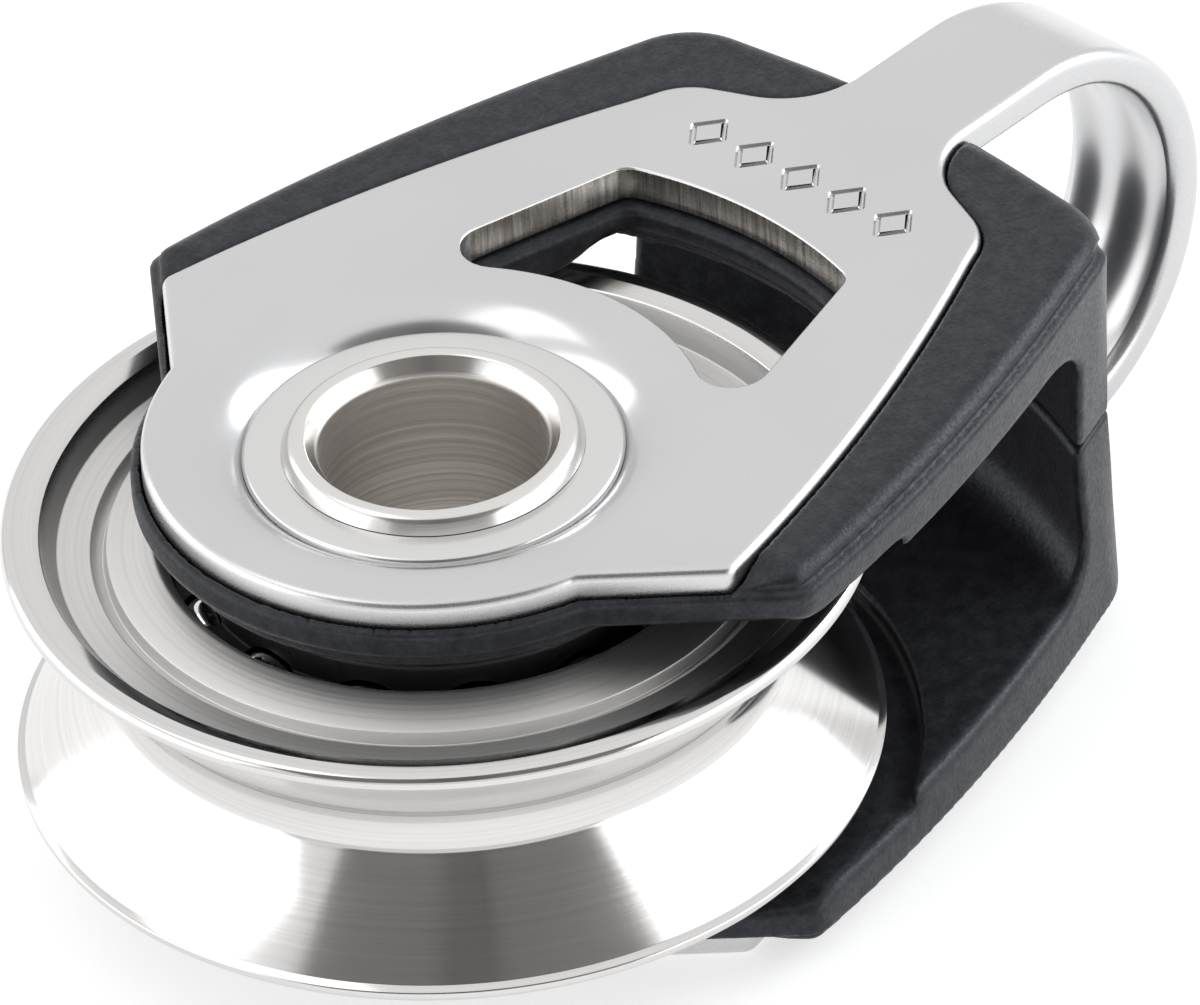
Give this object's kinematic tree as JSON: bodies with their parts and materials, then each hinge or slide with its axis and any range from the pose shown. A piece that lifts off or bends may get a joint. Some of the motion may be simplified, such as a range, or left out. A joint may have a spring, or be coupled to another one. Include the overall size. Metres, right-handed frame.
{
  "type": "single sheave block",
  "caption": "Ball-bearing rope pulley block: a grooved steel sheave on a hollow axle between two plastic cheeks, in a bent steel strap that ends in an eye.",
  "frame": {"origin": "centre of the bounding box at its lowest face, which is the outer face of the lower strap plate", "axes": "+X from the sheave to the eye, +Z along the axle, +Y across the block"},
  "size_m": [0.0516, 0.0306, 0.0165],
  "materials": {
    "strap_steel": "satin",
    "cheek_black": "fine spark texture",
    "axle_steel": "turned and polished",
    "washer_steel": "turned",
    "race_steel": "ground",
    "sheave_steel": "polished",
    "cage_nylon": "moulded",
    "ball_steel": "polished"
  },
  "bodies": {
    "frame": {"strap": "strap_steel", "cheek_upper": "cheek_black", "cheek_lower": "cheek_black", "axle_tube": "axle_steel", "hub_washer_upper": "washer_steel", "hub_washer_lower": "washer_steel", "inner_race": "race_steel"},
    "sheave": {"sheave": "sheave_steel"},
    "upper_ball_row": {"upper_cage": "cage_nylon", "upper_ball_01": "ball_steel", "upper_ball_02": "ball_steel", "upper_ball_03": "ball_steel", "upper_ball_04": "ball_steel", "upper_ball_05": "ball_steel", "upper_ball_06": "ball_steel", "upper_ball_07": "ball_steel", "upper_ball_08": "ball_steel", "upper_ball_09": "ball_steel", "upper_ball_10": "ball_steel", "upper_ball_11": "ball_steel", "upper_ball_12": "ball_steel", "upper_ball_13": "ball_steel", "upper_ball_14": "ball_steel"},
    "lower_ball_row": {"lower_cage": "cage_nylon", "lower_ball_01": "ball_steel", "lower_ball_02": "ball_steel", "lower_ball_03": "ball_steel", "lower_ball_04": "ball_steel", "lower_ball_05": "ball_steel", "lower_ball_06": "ball_steel", "lower_ball_07": "ball_steel", "lower_ball_08": "ball_steel", "lower_ball_09": "ball_steel", "lower_ball_10": "ball_steel", "lower_ball_11": "ball_steel", "lower_ball_12": "ball_steel", "lower_ball_13": "ball_steel", "lower_ball_14": "ball_steel"}
  },
  "joints": [
    {"name": "sheave_spin", "type": "hinge", "parent": "frame", "child": "sheave", "pos_m": [-0.01078, 0, 0.00827], "axis": [0, 0, 1], "continuous": true},
    {"name": "upper_row_spin", "type": "hinge", "parent": "frame", "child": "upper_ball_row", "pos_m": [-0.01078, 0, 0.00827], "axis": [0, 0, 1], "continuous": true},
    {"name": "lower_row_spin", "type": "hinge", "parent": "frame", "child": "lower_ball_row", "pos_m": [-0.01078, 0, 0.00827], "axis": [0, 0, 1], "continuous": true}
  ],
  "couplings": [
    {"joint": "upper_row_spin", "follows": "sheave_spin", "ratio": 0.5806},
    {"joint": "lower_row_spin", "follows": "sheave_spin", "ratio": 0.5806}
  ]
}
